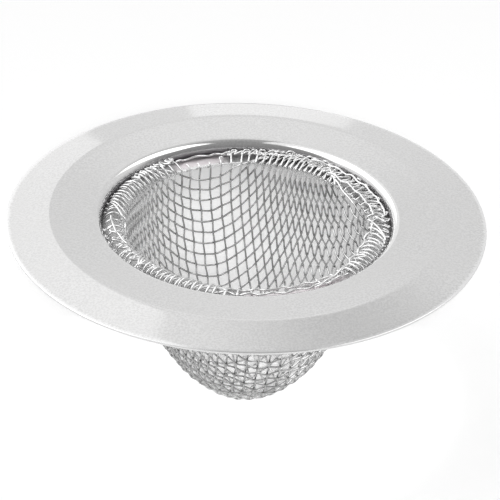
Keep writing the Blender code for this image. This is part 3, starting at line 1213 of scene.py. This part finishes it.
def place_camera():
    """Stand the camera where the photograph was taken from."""
    data = bpy.data.cameras.new("camera")
    data.sensor_width = SENSOR_WIDTH_MM
    data.lens = FOCAL_PIXELS / FRAME_PIXELS * SENSOR_WIDTH_MM
    data.clip_start = CAMERA_NEAR
    data.clip_end = CAMERA_FAR
    camera = put_in_scene("camera", data)
    back = Vector((0.0, -math.cos(CAMERA_ELEVATION), math.sin(CAMERA_ELEVATION)))
    level = (-back).to_track_quat("-Z", "Y")
    rolled = level @ Quaternion(Vector((0.0, 0.0, 1.0)), CAMERA_ROLL)
    half = FRAME_PIXELS / 2
    right = (RIM_CENTRE_PIXEL[0] - half) / FOCAL_PIXELS
    down = (RIM_CENTRE_PIXEL[1] - half) / FOCAL_PIXELS
    seen = Vector((right, -down, -1.0)).normalized()
    aim = seen.rotation_difference(Vector((0.0, 0.0, -1.0)))
    camera.rotation_mode = "QUATERNION"
    camera.rotation_quaternion = rolled @ aim
    camera.location = RIM_CENTRE + back * CAMERA_DISTANCE
    bpy.context.scene.camera = camera


def studio_walls(tree, across, up, behind):
    """Find how bright the far wall, the ceiling and the camera's side are."""
    high = rises(tree, up, HIGH_WALL_UP)
    plain = mix_value(tree, high, LOW_WALL_LEVEL, HIGH_WALL_LEVEL)
    slope = product(tree, ramp(tree, across, *SLOPE_ACROSS, *SLOPE_LEVELS), high)
    dimmer_right = ramp(tree, across, *DIM_RIGHT_ACROSS, 0.0, DIM_RIGHT_LEVEL)
    shelf_foot = ramp(tree, up, *SHELF_FOOT_UP, 0.0, SHELF_LEVEL)
    shelf = product(tree, shelf_foot, falls(tree, up, SHELF_TOP_UP), falls(tree, across, SHELF_END_ACROSS))
    even = maths(tree, "ADD", maths(tree, "SUBTRACT", plain, dimmer_right), shelf)
    far_wall = maths(tree, "ADD", even, slope)
    roofed = mix_value(tree, rises(tree, up, CEILING_UP), far_wall, CEILING_LEVEL)
    low_right = product(tree, rises(tree, across, LOW_RIGHT_ACROSS), falls(tree, up, LOW_RIGHT_UP))
    shaded = product(tree, roofed, ramp(tree, low_right, 0.0, 1.0, 1.0, LOW_RIGHT_SHARE))
    return mix_value(tree, behind, CAMERA_SIDE_LEVEL, shaded)


def low_white_card(tree, across, up, behind):
    """Mark the white card that stands low behind the object."""
    left_side = rises(tree, across, LOW_CARD_LEFT_ACROSS)
    right_side = falls(tree, across, LOW_CARD_RIGHT_ACROSS)
    return product(tree, left_side, right_side, falls(tree, up, LOW_CARD_TOP_UP), behind)


def left_white_card(tree, direction, away):
    """Mark the white card that fills the left of the far wall."""
    edge = vector_maths(tree, "DOT_PRODUCT", direction, (1.0, 0.0, -LEFT_CARD_SLANT))
    return product(tree, falls(tree, edge, LEFT_CARD_EDGE), rises(tree, away, LEFT_CARD_AWAY))


def window(tree, sideways, away):
    """Mark a bright window to one side, which leans over the object and in front of it."""
    nearer = maths(tree, "MINIMUM", maths(tree, "SUBTRACT", away, WINDOW_LEANS_BEFORE), 0.0)
    reach = maths(tree, "SUBTRACT", sideways, nearer)
    inner = rises(tree, sideways, WINDOW_INNER_SIDEWAYS)
    outer = falls(tree, sideways, WINDOW_OUTER_SIDEWAYS)
    return product(tree, rises(tree, reach, WINDOW_REACH), inner, rises(tree, away, WINDOW_AWAY), outer)


def mirrored_ray(tree, light):
    """Say whether the steel, or glass, looks here."""
    return maths(tree, "MAXIMUM", light.outputs["Is Glossy Ray"], light.outputs["Is Transmission Ray"])


def mix_shader(tree, share, first, second):
    """Mix two shaders by a share."""
    made = add(tree, "ShaderNodeMixShader")
    return feed_in_order(tree, made, share, first.outputs[0], second.outputs[0]).outputs[0]


def make_world():
    """Surround the object with a plain studio, and with white where it is looked at."""
    world = bpy.data.worlds.new("studio")
    bpy.context.scene.world = world
    world.use_nodes = True
    tree = world.node_tree
    tree.nodes.clear()
    direction = add(tree, "ShaderNodeTexCoord").outputs["Generated"]
    across, away, up = in_parts(tree, direction)
    behind = rises(tree, away, FAR_SIDE_AWAY)
    walls = studio_walls(tree, across, up, behind)
    low_card = low_white_card(tree, across, up, behind)
    left_carded = mix_value(tree, left_white_card(tree, direction, away), walls, LEFT_CARD_LEVEL)
    carded = mix_value(tree, low_card, left_carded, LOW_CARD_LEVEL)
    left_window = window(tree, product(tree, across, -1.0), away)
    left_glass = product(tree, left_window, rises(tree, up, LEFT_WINDOW_SILL_UP))
    right_glass = product(tree, window(tree, across, away), rises(tree, up, RIGHT_WINDOW_SILL_UP))
    level = mix_value(tree, maths(tree, "MAXIMUM", left_glass, right_glass), carded, WINDOW_LEVEL)

    light = add(tree, "ShaderNodeLightPath")
    mirrored = mirrored_ray(tree, light)
    strength = product(tree, level, mix_value(tree, mirrored, DULL_SHARE, 1.0))
    studio = feed_named(tree, add(tree, "ShaderNodeBackground"), Color=WHITE, Strength=strength)
    white = feed_named(tree, add(tree, "ShaderNodeBackground"), Color=WHITE, Strength=1.0)
    shown = maths(tree, "MAXIMUM", light.outputs["Is Camera Ray"], product(tree, mirrored, low_card))
    output = add(tree, "ShaderNodeOutputWorld")
    feed_named(tree, output, Surface=mix_shader(tree, shown, studio, white))


def floor_paint():
    """Pale floor that the camera sees as white, less the object's soft shadow."""
    material = bpy.data.materials.new("pale floor")
    material.use_nodes = True
    tree = material.node_tree
    tree.nodes.clear()
    light = add(tree, "ShaderNodeLightPath")
    mirrored_share = product(tree, mirrored_ray(tree, light), FLOOR_SHARE_MIRRORED)
    share = maths(tree, "MAXIMUM", light.outputs["Is Camera Ray"], mirrored_share)
    place = add(tree, "ShaderNodeTexCoord").outputs["Object"]
    flat = vector_maths(tree, "MULTIPLY", place, (1.0, 1.0, 0.0))
    distance = feed_in_order(tree, add(tree, "ShaderNodeVectorMath", operation="LENGTH"), flat)
    seen = ramp(tree, distance.outputs["Value"], *FLOOR_UNDER, FLOOR_WHITE_UNDER, FLOOR_WHITE_SEEN)
    colour = mix_colour(tree, share, grey(FLOOR_WHITE), seen)
    upper = feed_named(tree, add(tree, "ShaderNodeBsdfDiffuse"), Color=colour)
    clear = add(tree, "ShaderNodeBsdfTransparent")
    below = add(tree, "ShaderNodeNewGeometry").outputs["Backfacing"]
    feed_named(tree, add(tree, "ShaderNodeOutputMaterial"), Surface=mix_shader(tree, below, upper, clear))
    return material


def make_floor():
    """Lay the floor under the basket's tip."""
    half = FLOOR_SIZE / 2
    height = CAD_BOX[0].z - FLOOR_CLEARANCE
    mesh = bpy.data.meshes.new("floor")
    mesh.from_pydata(
        [(-half, -half, height), (half, -half, height), (half, half, height), (-half, half, height)],
        [],
        [(0, 1, 2, 3)],
    )
    mesh.materials.append(floor_paint())
    floor = put_in_scene("floor", mesh)


def hang_lamp():
    """Hang the soft lamp in front, where the rim hides the shadow that it throws."""
    data = bpy.data.lights.new("key softbox", "AREA")
    data.shape = "RECTANGLE"
    data.size = LAMP_SIZE
    data.size_y = LAMP_SIZE
    data.energy = LAMP_BRIGHTNESS * math.pi * LAMP_SIZE ** 2
    lamp = put_in_scene("key softbox", data)
    level = math.cos(LAMP_RISE)
    place = Vector((math.sin(LAMP_TURN) * level, math.cos(LAMP_TURN) * level, math.sin(LAMP_RISE)))
    lamp.location = place * LAMP_DISTANCE
    lamp.rotation_mode = "QUATERNION"
    lamp.rotation_quaternion = place.to_track_quat("Z", "Y")
    lamp.visible_glossy = False


def nodes_named(start):
    """List the model's nodes whose names start alike."""
    return [name for name in sorted(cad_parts) if name.startswith(start)]


def build():
    """Make and place every piece."""
    grain_group = steel_grain_group()
    edge_group = rubbed_edge_group()
    rim = make_rim(rim_steel(grain_group, edge_group))
    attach(rim, "root")
    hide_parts("rim_flange")

    steel = wire_steel(grain_group, edge_group)
    tree = wire_tree()
    noise.seed_set(STRAY_SEED)
    dice = random.Random(DICE_SEED)
    for start, is_warp, seed in (("warp_wire", True, 1.0), ("weft_wire", False, 2.0)):
        wires = weave(start + "s", is_warp, tree, steel, dice, seed)
        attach(wires, "root")
        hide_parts(*nodes_named(start))


place_camera()
build()
make_world()
make_floor()
hang_lamp()
bpy.context.scene.view_settings.view_transform = "Standard"
